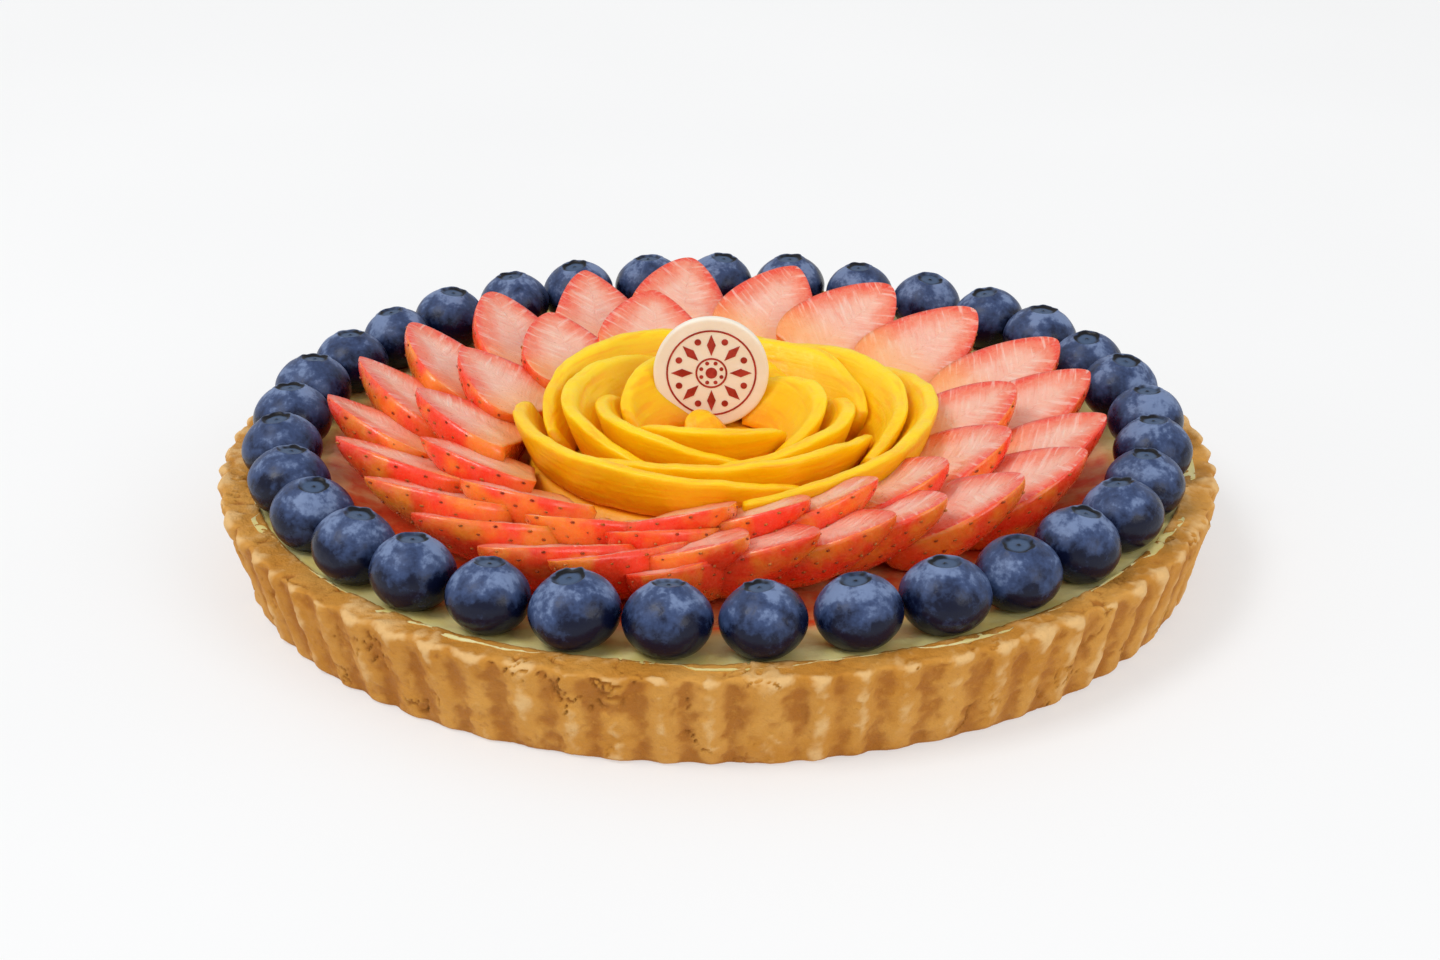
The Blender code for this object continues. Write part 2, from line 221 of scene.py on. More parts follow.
class Paint:
    """A material under construction: short ways to add the nodes that the finishes share."""

    def __init__(self, name: str) -> None:
        """Starts a material with one shader.

        Args:
            name: Name of the material.
        """
        self.material = bpy.data.materials.new(name)
        self.material.use_nodes = True
        self.tree = self.material.node_tree
        self.shader = self.tree.nodes["Principled BSDF"]
        self.place = self.tree.nodes.new("ShaderNodeTexCoord").outputs["Object"]

    def node(self, kind: str, **settings: object) -> bpy.types.Node:
        """A new node with these settings."""
        made = self.tree.nodes.new(kind)
        for key, value in settings.items():
            setattr(made, key, value)
        return made

    def link(self, source: bpy.types.NodeSocket, target: bpy.types.NodeSocket) -> None:
        """Joins two sockets."""
        self.tree.links.new(source, target)

    def noise(self, size: float, detail: float = 4.0, rough: float = 0.55, stretch: float = 0.0,
              place: bpy.types.NodeSocket | None = None) -> bpy.types.NodeSocket:
        """Noise with features of about this size.

        Args:
            size: Size in metres.
            detail: Layers of finer noise.
            rough: Strength of the finer layers.
            stretch: Distortion.
            place: Coordinates, or None for the object's.

        Returns:
            The factor output, from 0 to 1.
        """
        made = self.node("ShaderNodeTexNoise")
        made.inputs["Scale"].default_value = 1 / size
        made.inputs["Detail"].default_value = detail
        made.inputs["Roughness"].default_value = rough
        made.inputs["Distortion"].default_value = stretch
        self.link(place or self.place, made.inputs["Vector"])
        return made.outputs["Fac"]

    def value(self, name: str) -> bpy.types.NodeSocket:
        """The number stored under this name at each point."""
        return self.node("ShaderNodeAttribute", attribute_name=name).outputs["Fac"]

    def fibres(self) -> bpy.types.NodeSocket:
        """Noise that runs with the fibres of a piece."""
        grain = self.node("ShaderNodeAttribute", attribute_name="grain").outputs["Vector"]
        return self.noise(1.0, 3.0, 0.5, 0.3, grain)

    def band(self, source: bpy.types.NodeSocket, low: float, high: float,
             start: float = 0.0, end: float = 1.0) -> bpy.types.NodeSocket:
        """A smooth step.

        Args:
            source: Value to map.
            low: Where the step starts.
            high: Where it ends.
            start: Output up to low.
            end: Output from high.

        Returns:
            The mapped value.
        """
        made = self.node("ShaderNodeMapRange", interpolation_type="SMOOTHSTEP")
        for key, number in (("From Min", low), ("From Max", high), ("To Min", start), ("To Max", end)):
            made.inputs[key].default_value = number
        self.link(source, made.inputs["Value"])
        return made.outputs["Result"]

    def maths(self, kind: str, a: bpy.types.NodeSocket, b: bpy.types.NodeSocket) -> bpy.types.NodeSocket:
        """One operation on two values."""
        made = self.node("ShaderNodeMath", operation=kind)
        self.link(a, made.inputs[0])
        self.link(b, made.inputs[1])
        return made.outputs[0]

    def mix(self, share: bpy.types.NodeSocket, a: object, b: object) -> bpy.types.NodeSocket:
        """Mixes two colours, each a socket or an RGB triple."""
        made = self.node("ShaderNodeMix", data_type="RGBA")
        self.link(share, made.inputs[0])
        for socket, colour in ((made.inputs[6], a), (made.inputs[7], b)):
            if isinstance(colour, tuple):
                socket.default_value = (*colour, 1.0)
            else:
                self.link(colour, socket)
        return made.outputs[2]

    def colours(self, base: tuple, *layers: tuple) -> None:
        """Sets the base colour, from colours laid over each other.

        Args:
            base: The lowest colour.
            layers: For each layer its colour and a value from 0 to 1 that it shows by. Where three
                numbers follow, the layer starts to show at the first, shows most at the second, and
                the third is its share there.
        """
        for colour, share, *step in layers:
            if step:
                low, high, most = step
                share = self.band(share, low, high, 0.0, most)
            base = self.mix(share, base, colour)
        self.link(base, self.shader.inputs["Base Color"])

    def roughness(self, source: bpy.types.NodeSocket, smooth: float, rough: float,
                  low: float = 0.3, high: float = 0.7) -> None:
        """Sets the roughness.

        Args:
            source: Value that it follows.
            smooth: Roughness where the value is low.
            rough: Roughness where it is high.
            low: What counts as low.
            high: What counts as high.
        """
        self.link(self.band(source, low, high, smooth, rough), self.shader.inputs["Roughness"])

    def specular(self, level: float) -> None:
        """Sets how strongly the surface mirrors light."""
        self.shader.inputs["Specular IOR Level"].default_value = level

    def relief(self, *layers: tuple) -> None:
        """Adds fine relief.

        Args:
            layers: Pairs of a height from 0 to 1 and its depth in metres.
        """
        normal = None
        for height, depth in layers:
            bump = self.node("ShaderNodeBump")
            bump.inputs["Distance"].default_value = depth
            self.link(height, bump.inputs["Height"])
            if normal is not None:
                self.link(normal, bump.inputs["Normal"])
            normal = bump.outputs["Normal"]
        self.link(normal, self.shader.inputs["Normal"])

    def glow(self, weight: float, radius: tuple, scale: float) -> None:
        """Lets light into the flesh.

        Args:
            weight: Share of light that goes in.
            radius: How far red, green and blue go, relative to scale.
            scale: Distance in metres.
        """
        self.shader.inputs["Subsurface Weight"].default_value = weight
        self.shader.inputs["Subsurface Radius"].default_value = radius
        self.shader.inputs["Subsurface Scale"].default_value = scale

    def coat(self, weight: float, roughness: float) -> None:
        """Adds a clear wet layer."""
        self.shader.inputs["Coat Weight"].default_value = weight
        self.shader.inputs["Coat Roughness"].default_value = roughness


@dataclass(frozen=True)
class CrustFinish:
    """Baked shortcrust: golden brown with random darker and paler patches, painted shade in its low places
    and painted highlights on its high ones.
    """

    pale: tuple = (0.68, 0.325, 0.060)
    golden: tuple = (0.57, 0.235, 0.025)
    brown: tuple = (0.36, 0.108, 0.006)
    crest: tuple = (0.84, 0.54, 0.23)
    crumb: tuple = (0.76, 0.46, 0.15)

    def build(self) -> bpy.types.Material:
        """Makes the material."""
        paint = Paint("baked_crust")
        broad = paint.noise(16 * MM, 5)
        fine = paint.noise(2.2 * MM, 6, 0.65)
        grain = paint.noise(0.5 * MM, 3, 0.7)
        high = paint.value("high")
        paint.colours(
            self.golden,
            (self.pale, broad, 0.35, 0.65, 1.0),
            # Painted shade: brown in the low places that high marks, the flute hollows, pits and cracks.
            (self.brown, high, 0.50, 0.05, 0.7),
            (self.pale, fine, 0.56, 0.70, 0.35),
            (self.brown, fine, 0.42, 0.30, 0.30),
            # Painted highlight: the crest colour on the flute crests and along the rim top.
            (self.crest, high, 0.60, 1.0, 0.8),
            (self.crumb, grain, 0.62, 0.75, 0.25))
        paint.roughness(fine, 0.62, 0.85)
        paint.relief((fine, 0.6 * MM), (grain, 0.2 * MM))
        paint.specular(0.3)
        return paint.material


@dataclass(frozen=True)
class CustardFinish:
    """Pale egg custard with a satin skin, stained red by juice between the strawberries; the red also stands
    in for painted shade in the gap between the strawberries and the berries.
    """

    cream: tuple = (0.86, 0.76, 0.34)
    yellow: tuple = (0.80, 0.65, 0.21)
    juice_and_shade: tuple = (0.70, 0.075, 0.018)
    nectar: tuple = (0.95, 0.42, 0.005)

    def build(self) -> bpy.types.Material:
        """Makes the material."""
        paint = Paint("custard")
        broad = paint.noise(9 * MM, 4)
        fine = paint.noise(1.5 * MM, 4)
        # The red juice layer is a real stain, and its dark red is also painted shade in the gap between the
        # strawberry tips and the berries.
        red_juice_and_shade = paint.maths("MULTIPLY", paint.value("juice_and_shade"), paint.band(broad, 0.30, 0.62, 0.50, 1.0))
        paint.colours(
            self.cream,
            (self.yellow, broad, 0.35, 0.65, 1.0),
            (self.juice_and_shade, red_juice_and_shade),
            (self.nectar, paint.value("nectar")))
        paint.roughness(fine, 0.3, 0.48)
        paint.relief((broad, 0.5 * MM), (fine, 0.15 * MM))
        paint.glow(0.25, (1.0, 0.8, 0.4), 2 * MM)
        return paint.material


@dataclass(frozen=True)
class BerryFinish:
    """Blueberry skin: navy under a pale waxy coat that is rubbed off in places, with painted light on the
    tops and painted shade towards the bottoms.
    """

    skin: tuple = (0.003, 0.005, 0.022)
    bloom_and_top_light: tuple = (0.040, 0.068, 0.165)
    pale: tuple = (0.190, 0.260, 0.440)
    floor: tuple = (0.048, 0.085, 0.165)
    crown_dark_and_shade: tuple = (0.001, 0.001, 0.003)

    def build(self) -> bpy.types.Material:
        """Makes the material."""
        paint = Paint("blueberry_skin")
        broad = paint.noise(6 * MM, 4, 0.55, 0.2)
        fine = paint.noise(1.1 * MM, 4, 0.6, 0.1)
        up = paint.value("up")
        # The coat shows more towards the top: the lighter tops and the very dark bottoms are painted light
        # and painted shade, and the noise adds real rubbed patches.
        bloom_and_top_light = paint.band(up, -0.5, 0.9, -0.25, 0.72)
        bloom_and_top_light = paint.maths("ADD", bloom_and_top_light, paint.band(broad, 0.3, 0.7, -0.30, 0.42))
        bloom_and_top_light = paint.maths("ADD", bloom_and_top_light, paint.band(fine, 0.35, 0.7, -0.10, 0.12))
        paint.colours(
            self.skin,
            (self.bloom_and_top_light, bloom_and_top_light, 0.0, 0.75, 1.0),
            (self.pale, bloom_and_top_light, 0.62, 1.05, 0.8),
            (self.floor, paint.value("floor")),
            # Very dark inside the crown rim: partly its real dark edge and centre, partly painted shade under
            # the rim.
            (self.crown_dark_and_shade, paint.value("lip")))
        paint.roughness(bloom_and_top_light, 0.24, 0.50, 0.0, 0.9)
        paint.relief((fine, 0.08 * MM), (broad, 0.20 * MM))
        paint.specular(0.25)
        return paint.material


@dataclass(frozen=True)
class StrawberrySkinFinish:
    """Glossy strawberry skin, redder towards the tip and orange in patches."""

    red: tuple = (0.98, 0.058, 0.016)
    orange: tuple = (1.0, 0.26, 0.028)
    speck: tuple = (0.95, 0.22, 0.09)

    def build(self) -> bpy.types.Material:
        """Makes the material."""
        paint = Paint("strawberry_skin")
        broad = paint.noise(11 * MM, 3)
        fine = paint.noise(1.2 * MM, 4)
        paint.colours(
            self.red,
            (self.orange, broad, 0.42, 0.64, 1.0),
            (self.orange, paint.value("along"), 0.35, 0.0, 0.6),
            (self.speck, fine, 0.55, 0.75, 0.4))
        paint.roughness(fine, 0.18, 0.36)
        paint.relief((fine, 0.15 * MM))
        paint.glow(0.6, (1.0, 0.30, 0.12), 4 * MM)
        paint.coat(0.25, 0.15)
        return paint.material


@dataclass(frozen=True)
class StrawberryFleshFinish:
    """Cut strawberry: a red rim, salmon flesh and a whitish heart with fibres."""

    rim: tuple = (0.84, 0.060, 0.022)
    flesh: tuple = (0.86, 0.210, 0.115)
    heart: tuple = (0.88, 0.475, 0.355)
    speck: tuple = (0.90, 0.63, 0.52)
    pale_fibre: tuple = (0.92, 0.68, 0.58)
    dark_fibre: tuple = (0.82, 0.20, 0.12)
    shoulder: tuple = (0.95, 0.46, 0.12)

    def build(self) -> bpy.types.Material:
        """Makes the material."""
        paint = Paint("strawberry_flesh")
        broad = paint.noise(5 * MM, 4)
        fine = paint.noise(0.9 * MM, 5, 0.6, 0.5)
        depth = paint.maths("ADD", paint.value("depth"), paint.band(broad, 0.25, 0.75, -0.13, 0.13))
        fibre = paint.fibres()
        paint.colours(
            self.rim,
            (self.flesh, depth, 0.03, 0.30, 1.0),
            (self.heart, depth, 0.25, 0.80, 1.0),
            (self.speck, fine, 0.45, 0.72, 0.20),
            (self.pale_fibre, fibre, 0.52, 0.70, 0.50),
            (self.dark_fibre, fibre, 0.46, 0.30, 0.35),
            (self.shoulder, paint.value("along"), 0.5, 0.1, 0.6))
        paint.roughness(fine, 0.26, 0.45)
        paint.relief((fine, 0.15 * MM), (broad, 0.4 * MM), (fibre, 0.25 * MM))
        paint.glow(0.35, (1.0, 0.4, 0.25), 2.5 * MM)
        paint.coat(0.2, 0.2)
        return paint.material


@dataclass(frozen=True)
class SeedFinish:
    """Strawberry seeds, brown to orange."""

    brown: tuple = (0.40, 0.060, 0.014)
    orange: tuple = (0.62, 0.20, 0.035)

    def build(self) -> bpy.types.Material:
        """Makes the material."""
        paint = Paint("strawberry_seed")
        patch = paint.noise(6 * MM, 2)
        paint.colours(self.brown, (self.orange, patch, 0.4, 0.6, 1.0))
        paint.roughness(patch, 0.3, 0.45)
        paint.relief((paint.noise(0.3 * MM), 0.05 * MM))
        return paint.material


@dataclass(frozen=True)
class MangoFinish:
    """Ripe mango: saturated yellow, with a painted highlight in lighter yellow along the cut edge at the top
    and painted shade in orange in the depths low on each slice.
    """

    yellow: tuple = (1.0, 0.57, 0.0)
    light: tuple = (1.0, 0.68, 0.005)
    orange: tuple = (1.0, 0.35, 0.0)
    patch: tuple = (0.98, 0.52, 0.0)

    def build(self) -> bpy.types.Material:
        """Makes the material."""
        paint = Paint("mango_flesh")
        broad = paint.noise(8 * MM, 3)
        fine = paint.noise(1.3 * MM, 4, 0.55, 0.6)
        up = paint.value("up")
        fibre = paint.fibres()
        # Painted light by height: orange low on each slice is painted shade where the slices stand close, and
        # the light colour near the top is a painted highlight. The noise and fibre layers are the flesh's own
        # tone.
        paint.colours(
            self.orange,
            (self.yellow, up, 0.05, 0.65, 1.0),
            (self.light, up, 0.80, 1.0, 0.75),
            (self.patch, broad, 0.52, 0.72, 0.45),
            (self.light, fine, 0.52, 0.75, 0.3),
            (self.light, fibre, 0.50, 0.72, 0.45),
            (self.orange, fibre, 0.48, 0.30, 0.45))
        paint.roughness(fine, 0.34, 0.50)
        paint.relief((fine, 0.12 * MM), (broad, 0.5 * MM), (fibre, 0.25 * MM))
        paint.glow(0.6, (1.0, 0.60, 0.06), 4 * MM)
        paint.specular(0.4)
        return paint.material


@dataclass(frozen=True)
class ChocolateFinish:
    """White chocolate, ivory with paler patches."""

    ivory: tuple = (0.86, 0.79, 0.66)
    pale: tuple = (0.90, 0.84, 0.73)

    def build(self) -> bpy.types.Material:
        """Makes the material."""
        paint = Paint("white_chocolate")
        broad = paint.noise(7 * MM, 3)
        fine = paint.noise(0.7 * MM, 3)
        paint.colours(self.ivory, (self.pale, broad, 0.35, 0.65, 1.0))
        paint.roughness(fine, 0.36, 0.5)
        paint.relief((broad, 0.2 * MM), (fine, 0.04 * MM))
        paint.glow(0.15, (1.0, 0.9, 0.7), 1.5 * MM)
        return paint.material


@dataclass(frozen=True)
class PrintFinish:
    """Dark red cocoa-butter print."""

    dark: tuple = (0.30, 0.012, 0.010)
    light: tuple = (0.42, 0.030, 0.022)

    def build(self) -> bpy.types.Material:
        """Makes the material."""
        paint = Paint("cocoa_print")
        patch = paint.noise(2 * MM, 3)
        paint.colours(self.dark, (self.light, patch, 0.35, 0.65, 1.0))
        paint.roughness(patch, 0.35, 0.5)
        paint.relief((patch, 0.03 * MM))
        return paint.material


@dataclass(frozen=True)
class TableFinish:
    """Plain pale surface, lit a little from inside so that it stays even."""

    dark: tuple = (0.41, 0.415, 0.42)
    light: tuple = (0.43, 0.435, 0.44)
    glow: float = 0.50

    def build(self) -> bpy.types.Material:
        """Makes the material."""
        paint = Paint("table")
        patch = paint.noise(0.3, 2)
        paint.colours(self.dark, (self.light, patch, 0.3, 0.7, 1.0))
        paint.shader.inputs["Emission Color"].default_value = (1.0, 1.0, 1.0, 1.0)
        paint.shader.inputs["Emission Strength"].default_value = self.glow
        paint.roughness(patch, 0.7, 0.8)
        paint.specular(0.1)
        return paint.material


# Shell and custard


@dataclass(frozen=True)
class Shell:
    """The fluted shell of a 22 cm tin.

    lump, crumb, pit and crack are the depths of its relief in millimetres.
    """

    rim_radius: float = 110.0 * MM
    base_radius: float = 104.5 * MM
    rim_height: float = 21.0 * MM
    inner_radius: float = 102.0 * MM
    floor_radius: float = 98.0 * MM
    floor_height: float = 5.0 * MM
    flutes: int = 72
    flute_depth: float = 1.5 * MM
    edge_inset: float = 1.6 * MM
    edge_round: float = 1.4 * MM
    wall_inset: float = 0.2 * MM
    wall_rows: int = 30
    edge_rows: int = 5
    top_rows: int = 9
    lump: float = 0.34
    crumb: float = 0.15
    pit: float = 0.35
    crack: float = 0.7
    around: int = 1440

    def profile(self) -> list:
        """Rows of radius, height, share of the flutes and share of the relief, from the underside in."""
        rows = [
            (CENTRE, 0.0, 0.0, 0.0), (60 * MM, 0.0, 0.0, 0.0), (98 * MM, 0.0, 0.0, 0.0),
            (self.base_radius - self.edge_inset, 0.0, 0.3, 0.3),
            (self.base_radius - 0.6 * MM, 0.3 * MM, 0.5, 0.6),
        ]
        for i in range(self.wall_rows + 1):
            s = i / self.wall_rows
            radius = self.base_radius + (self.rim_radius - self.wall_inset - self.base_radius) * s
            height = 1.1 * MM + (self.rim_height - 2.5 * MM) * s
            rows.append((radius, height, 0.75 + 0.25 * s, 1.0))
        edge_start = self.rim_radius - self.edge_inset
        for i in range(1, self.edge_rows + 1):
            turn = math.pi / 2 * i / self.edge_rows
            height = self.rim_height - self.edge_round + self.edge_round * math.sin(turn)
            rows.append((edge_start + self.edge_round * math.cos(turn), height, 1.0 - 0.1 * i, 1.0))
        for i in range(1, self.top_rows + 1):
            s = i / self.top_rows
            radius = edge_start + (self.inner_radius - self.rim_radius + self.edge_inset) * s
            rows.append((radius, self.rim_height - 0.2 * MM * s, 0.5 * (1 - s), 1.0))
        return rows + [
            (self.inner_radius - 0.6 * MM, self.rim_height - 2 * MM, 0.0, 0.3),
            (self.floor_radius, self.floor_height, 0.0, 0.0), (CENTRE, self.floor_height, 0.0, 0.0),
        ]

    def build(self, finish: CrustFinish) -> None:
        """Makes the shell.

        Args:
            finish: Its finish.
        """
        rows = np.array(self.profile())
        angle, ring = circle(self.around)
        field = NoiseField(3)
        drift = 0.10 * field.layers(ring, 0.16, 2)
        depth = self.flute_depth * (1.0 + 0.45 * field.layers(ring + 5.0, 0.10, 2))
        lobe = 0.5 + 0.5 * np.cos((angle + drift * TAU / self.flutes * 1.8) * self.flutes)
        inset = depth * (1 - lobe)
        radius = rows[:, 0:1] - rows[:, 2:3] * inset[None, :]
        height = np.repeat(rows[:, 1:2], self.around, axis=1)
        points = np.stack([radius * ring[:, 0], radius * ring[:, 1], height], axis=-1)
        flat = points.reshape(-1, 3)
        share = np.repeat(rows[:, 3], self.around)
        slope = np.repeat(self.wall_share(rows), self.around)
        lump = field.layers(flat, 7 * MM, 4, 0.55)
        crumb = field.layers(flat + 1.0, 1.8 * MM, 3, 0.6)
        pit = ramp(field.layers(flat + 2.0, 3.2 * MM, 2), 0.30, 0.8)
        crack = ramp(0.06 - np.abs(field.layers(flat + 3.0, 7 * MM, 3)), 0.0, 0.05)
        crack *= ramp(field.at(flat + 4.0, 9 * MM), 0.05, 0.4)
        shift = share * (self.lump * lump + self.crumb * crumb - self.pit * pit - self.crack * crack) * MM
        length = np.maximum(np.hypot(flat[:, 0], flat[:, 1]), 1e-6)
        flat[:, 0] += flat[:, 0] / length * shift * slope
        flat[:, 1] += flat[:, 1] / length * shift * slope
        flat[:, 2] = np.maximum(flat[:, 2] + shift * (1 - slope), 0.0)
        mesh = tube_mesh("tart_shell", flat.reshape(points.shape))
        # high paints light into the crust's colour: a painted highlight on the flute crests and the rim top,
        # and painted shade in the flute hollows, pits and cracks.
        on_wall = np.repeat(ramp(rows[:, 2], 0.2, 0.8), self.around) * np.tile(lobe, len(rows))
        edge = np.repeat(np.exp(-((rows[:, 1] - self.rim_height) / (1.6 * MM)) ** 2), self.around)
        high = 0.55 * on_wall + 0.14 + 0.20 * lump + 0.14 * crumb - 0.25 * pit - 0.7 * crack + 0.46 * edge
        add_values(mesh, "high", np.clip(high, 0.0, 1.0))
        mesh.materials.append(finish.build())
        add_piece(mesh, ["crust"])

    def wall_share(self, rows: np.ndarray) -> np.ndarray:
        """How far the relief of each row goes outward rather than upward."""
        return ramp(self.rim_height - rows[:, 1], 0.0, 1.2 * MM)


@dataclass(frozen=True)
class Custard:
    """The custard, pressed down under the strawberries and smeared on the rim here and there.

    juice_and_shade_fade and nectar_fade are the radii in millimetres between which those stains end; the red
    juice stain is also painted shade between the strawberries and the berries. lip_reach, lip_height and
    under_reach are each a least value in millimetres and what a full smear adds.
    """

    edge_height: float = 20.3 * MM
    berry_height: float = 18.6 * MM
    heart_height: float = 20.8 * MM
    hollow_height: float = 16.0 * MM
    bulge: float = 1.0 * MM
    edge_radius: float = 101.6 * MM
    foot_radius: float = 97.5 * MM
    foot_height: float = 6 * MM
    lip_reach: tuple = (0.9, 2.3)
    lip_height: tuple = (20.85, 0.25)
    under_reach: tuple = (0.6, 2.2)
    juice_and_shade_fade: tuple = (84, 91)
    nectar_fade: tuple = (41, 44)
    around: int = 480

    def build(self, finish: CustardFinish) -> None:
        """Makes the custard.

        Args:
            finish: Its finish.
        """
        marks = [
            (0.02, self.heart_height), (20, self.heart_height), (41.5, self.heart_height),
            (42.5, self.hollow_height), (76, self.hollow_height), (86, self.berry_height + self.bulge),
            (98.5, self.berry_height + 1.4 * self.bulge), (self.edge_radius / MM, self.edge_height),
        ]
        radii = np.concatenate([
            np.linspace(0.02, 41.5, 8), np.linspace(42.5, 74, 8), np.linspace(75, self.edge_radius / MM, 46)])
        heights = np.interp(radii, [m[0] for m in marks], [m[1] for m in marks])
        _, ring = circle(self.around)
        field = NoiseField(17)
        points = radii[:, None, None] * MM * ring[None, :, :]
        points[:, :, 2] = heights[:, None]
        flat = points.reshape(-1, 3)
        outer = np.repeat(ramp(radii, 78, 90), self.around)
        wave = field.layers(flat, 8 * MM, 3)
        flat[:, 2] += outer * 0.5 * wave * MM
        smear = ramp(field.layers(ring * 110 * MM, 14 * MM, 3), 0.15, 0.7)
        lip = ring * (self.edge_radius + self.smeared(self.lip_reach, smear)[:, None])
        lip[:, 2] = self.smeared(self.lip_height, smear)
        under = ring * (self.edge_radius + self.smeared(self.under_reach, smear)[:, None])
        under[:, 2] = self.edge_height
        foot = ring * self.foot_radius
        foot[:, 2] = self.foot_height
        rings = np.concatenate([flat.reshape(points.shape), lip[None], under[None], foot[None]])
        mesh = tube_mesh("custard_filling", rings[::-1])
        middle = np.hypot(rings[::-1, :, 0], rings[::-1, :, 1]) / MM
        # This red stain value also paints shade into the gap between the strawberry tips and the berries.
        add_values(mesh, "juice_and_shade", 1 - ramp(middle, *self.juice_and_shade_fade))
        add_values(mesh, "nectar", 1 - ramp(middle, *self.nectar_fade))
        mesh.materials.append(finish.build())
        add_piece(mesh, ["custard"])

    def smeared(self, sizes: tuple, smear: np.ndarray) -> np.ndarray:
        """A size in metres at each point of the edge, from its least value and what a smear adds."""
        least, more = sizes
        return (least + more * smear) * MM


# Blueberries


@dataclass(frozen=True)
class BerryPlace:
    """Where one berry lies and how it is turned."""

    name: str
    matrix: Matrix
    size: float
    seed: int


@dataclass(frozen=True)
class BerryRing:
    """The border of blueberries."""

    count: int = 33
    ring_radius: float = 95.4 * MM
    width: float = 17.7 * MM
    flatness: float = 0.86
    first_azimuth: float = -5.6
    rest_height: float = 19.2 * MM
    side_rows: int = 30
    around: int = 80

    def places(self) -> list:
        """Draws the place of every berry."""
        draw = random.Random(5)
        found = []
        for i in range(self.count):
            azimuth = self.first_azimuth + 360.0 * i / self.count + draw.uniform(-0.2, 0.2)
            size = self.width / 2 * draw.uniform(0.955, 1.0)
            reach = self.ring_radius + draw.uniform(-0.4, 0.4) * MM
            tilt = draw.uniform(0.0, 11.0)
            tilt_towards = draw.uniform(0.0, 360.0)
            turn = draw.uniform(0.0, 72.0)
            centre = outward(azimuth) * reach
            centre.z = self.rest_height + self.flatness * size
            lean = Matrix.Rotation(math.radians(tilt), 4, outward(tilt_towards))
            spin = Matrix.Rotation(math.radians(turn), 4, "Z")
            matrix = Matrix.Translation(centre) @ lean @ spin
            found.append(BerryPlace(f"blueberry_{i + 1:02d}", matrix, size, 100 + i))
        return found

    def outline(self) -> np.ndarray:
        """Rows of reach, height, crown share, floor share and lip share, for a berry of radius 1."""
        crown = [
            (0.004, 0.920, 0, 1, 0.9), (0.030, 0.920, 0, 1, 0.9), (0.045, 0.900, 0, 1, 0.5),
            (0.075, 0.890, 0, 1, 0.1), (0.13, 0.888, 0, 1, 0), (0.20, 0.888, 0, 1, 0),
            (0.240, 0.884, 0.1, 1, 0.3), (0.275, 0.880, 0.4, 0.8, 1.0),
            (0.310, 0.895, 0.8, 0.2, 1.2), (0.335, 0.925, 1.0, 0, 1.0), (0.352, 0.944, 1.0, 0, 0.4),
            (0.372, 0.946, 0.9, 0, 0.1), (0.392, 0.936, 0.5, 0, 0), (0.415, 0.922, 0.2, 0, 0),
            (0.450, 0.905, 0, 0, 0),
        ]
        start = math.asin(0.49)
        for i in range(self.side_rows + 1):
            turn = start + (math.pi - start - 0.01) * i / self.side_rows
            reach = math.sin(turn)
            height = math.cos(turn)
            if height > 0:
                height = height ** 1.12
            crown.append((reach, height, 0, 0, 0))
        return np.array(crown)

    def berry_mesh(self, place: BerryPlace) -> bpy.types.Mesh:
        """Makes one berry.

        Args:
            place: Where it lies.

        Returns:
            Its mesh, in place.
        """
        rows = self.outline()
        draw = np.random.default_rng(place.seed)
        angle, _ = circle(self.around)
        lobes = 5 if draw.uniform() < 0.75 else 6
        phase = draw.uniform(0, TAU)
        tooth = np.abs(np.sin((angle + phase) * lobes / 2))
        ragged = sum(
            draw.uniform(-1, 1) * np.cos(k * angle + draw.uniform(0, TAU)) for k in (1, 2, 3, 7, 9)) / 3
        side = 0.5 + 0.5 * np.cos(angle - draw.uniform(0, TAU))
        lip = (1.05 * tooth - 0.5 + 0.40 * ragged) * (0.35 + 0.65 * side)
        reach = rows[:, 0:1] * (1 + 0.17 * rows[:, 2:3] * lip[None, :])
        height = np.repeat(rows[:, 1:2], self.around, axis=1) + 0.03 * rows[:, 2:3] * lip[None, :]
        points = np.stack([reach * np.cos(angle), reach * np.sin(angle), self.flatness * height], axis=-1)
        flat = points.reshape(-1, 3)
        field = NoiseField(place.seed)
        bulge = 1 + 0.022 * field.layers(flat, 1.1, 2) + 0.004 * field.layers(flat, 0.22, 2)
        squash = 1 + 0.03 * draw.uniform(-1, 1)
        flat *= bulge[:, None]
        flat[:, 0] *= squash
        flat *= place.size
        turned = np.array(place.matrix.to_3x3()) @ flat.T
        placed = turned.T + np.array(place.matrix.translation)
        mesh = tube_mesh(place.name.replace("blueberry", "berry"), placed.reshape(points.shape))
        # up drives the painted light on the tops and the painted shade on the bottoms of each berry.
        add_values(mesh, "up", np.repeat(rows[:, 1], self.around))
        add_values(mesh, "floor", np.repeat(rows[:, 3], self.around))
        # lip marks the very dark inside of the crown: partly its real dark edge and centre, partly painted
        # shade under the rim.
        cut = np.clip(rows[:, 4:5] * (0.45 + 0.9 * side[None, :] + 0.5 * ragged[None, :]), 0, 1)
        add_values(mesh, "lip", cut)
        return mesh

    def build(self, finish: BerryFinish) -> None:
        """Makes every berry.

        Args:
            finish: Their finish.
        """
        skin = finish.build()
        for place in self.places():
            mesh = self.berry_mesh(place)
            mesh.materials.append(skin)
            add_piece(mesh, [place.name])


# Strawberries


